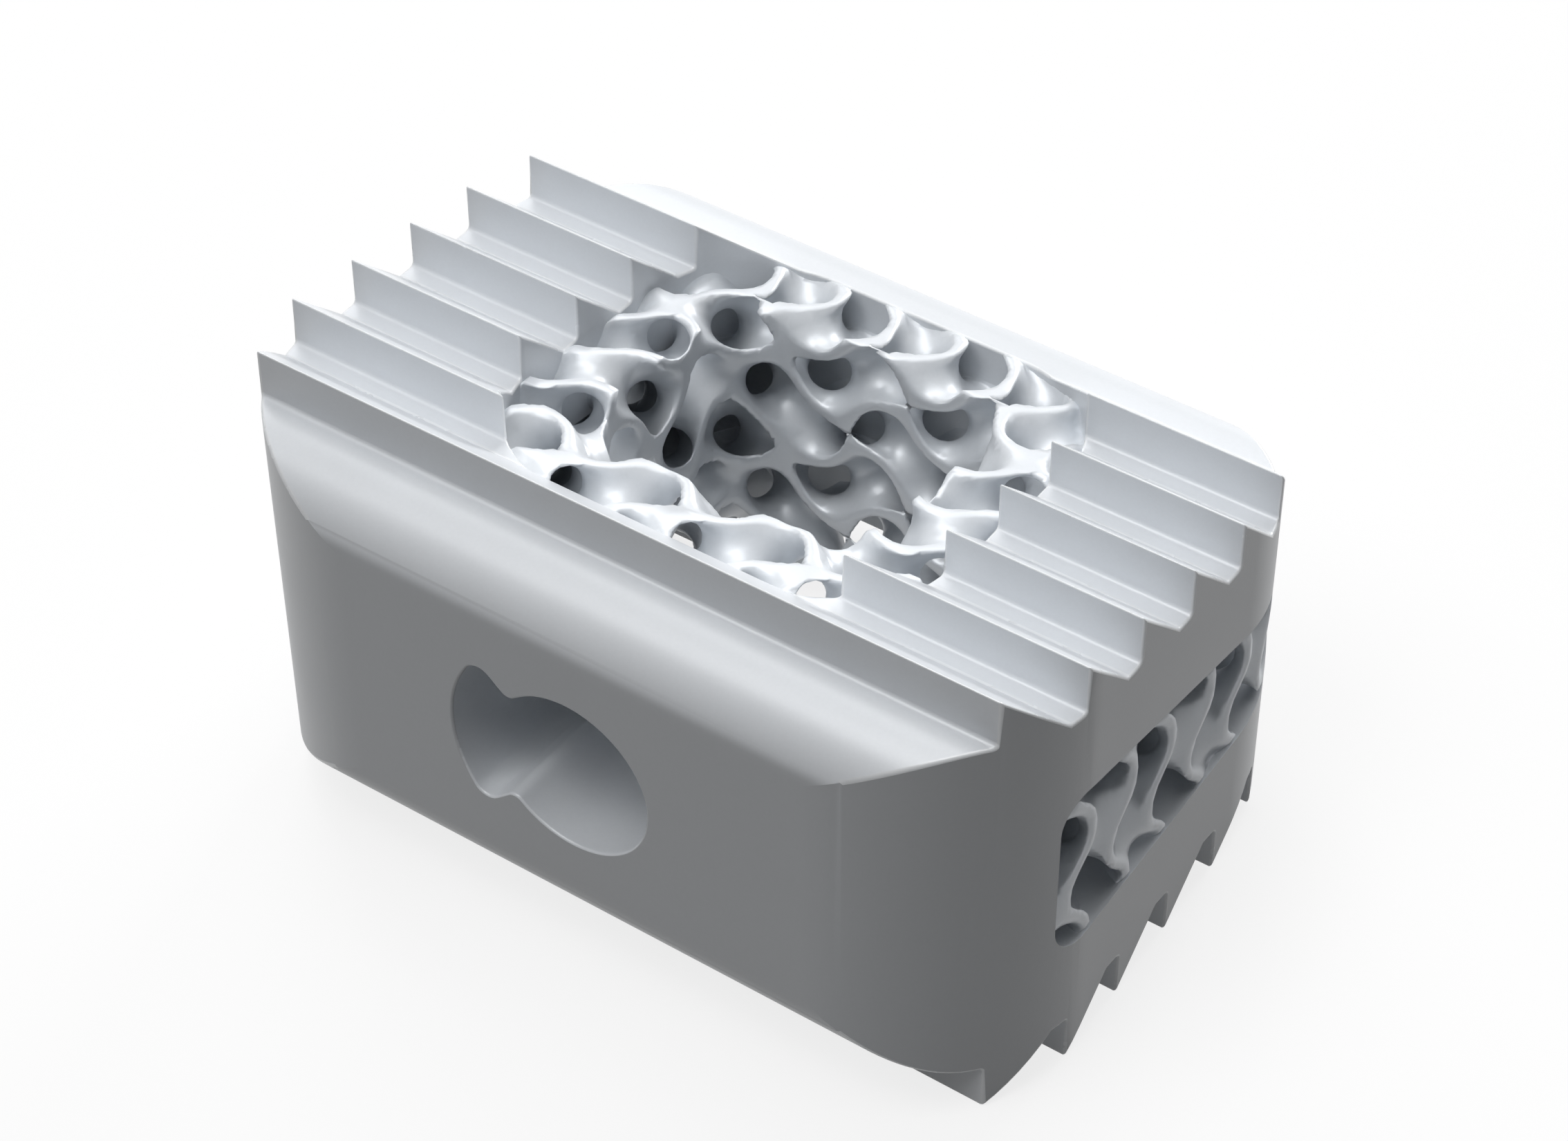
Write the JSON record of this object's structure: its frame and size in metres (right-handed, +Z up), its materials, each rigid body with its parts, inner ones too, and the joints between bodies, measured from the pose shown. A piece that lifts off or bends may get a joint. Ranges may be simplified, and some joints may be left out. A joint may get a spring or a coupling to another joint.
{
  "type": "spinal interbody cage",
  "caption": "Wedge-shaped toothed titanium spacer with an open graft window, a porous gyroid lattice core, slotted sides and a keyed inserter bore in the front wall.",
  "frame": {"origin": "on the ground, under the middle of the part's box", "axes": "+X along the teeth, away from the bore's key lobe; +Z up; the front wall with the bore faces -Y"},
  "size_m": [0.016, 0.012, 0.0093],
  "materials": {
    "titanium": "satin bead-blasted titanium alloy"
  },
  "bodies": {
    "root": {"interbody_cage": "titanium"}
  },
  "joints": []
}
